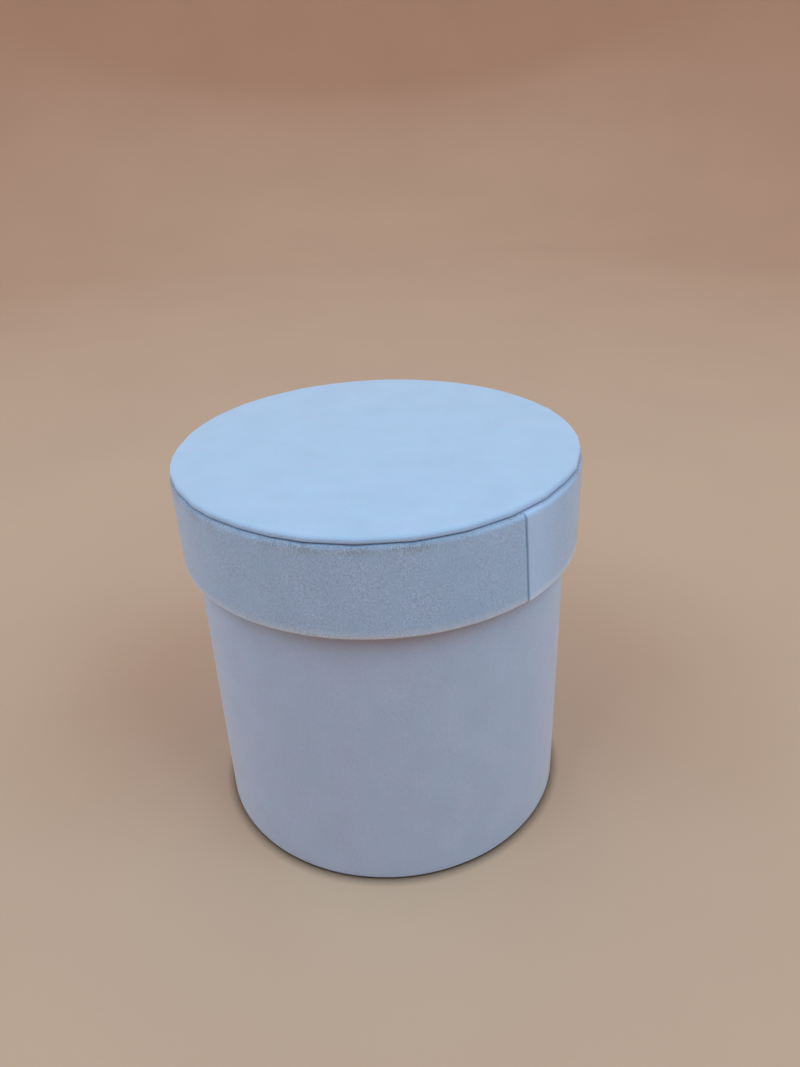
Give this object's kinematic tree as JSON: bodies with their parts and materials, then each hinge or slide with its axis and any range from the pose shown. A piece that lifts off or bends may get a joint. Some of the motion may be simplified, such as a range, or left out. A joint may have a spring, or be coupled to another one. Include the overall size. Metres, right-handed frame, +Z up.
{
  "type": "round keepsake box",
  "caption": "Round velvet-covered card box with a lift-off lid: rolled board body, overlapping lid band and a raised top panel with a soft edge.",
  "frame": {"origin": "centre of the underside, on the surface the box stands on", "axes": "+Z up along the axis of the box, -Y towards the front, +X to the right as seen from the front"},
  "size_m": [0.12, 0.12, 0.12],
  "materials": {
    "velvet": "matt short-pile velvet, pale lavender blue",
    "pad": "matt flocked disc, pale lavender blue",
    "board": "matt greyboard",
    "lining_paper": "matt off-white paper",
    "lining_card": "matt card faced with off-white paper"
  },
  "bodies": {
    "body": {"body_tube_board": "board", "body_bottom_board": "board", "body_wall_lining": "lining_paper", "body_floor_lining": "lining_card", "body_velvet_wrap": "velvet", "base_pad": "pad"},
    "lid": {"lid_rim_board": "board", "lid_top_board": "board", "lid_wall_lining": "lining_paper", "lid_ceiling_lining": "lining_paper", "lid_velvet_band": "velvet", "lid_panel_board": "board", "lid_panel_velvet": "velvet"}
  },
  "joints": [
    {"name": "lid_lift", "type": "slide", "parent": "body", "child": "lid", "axis": [0, 0, 1], "range_m": [0, 0.12]}
  ]
}
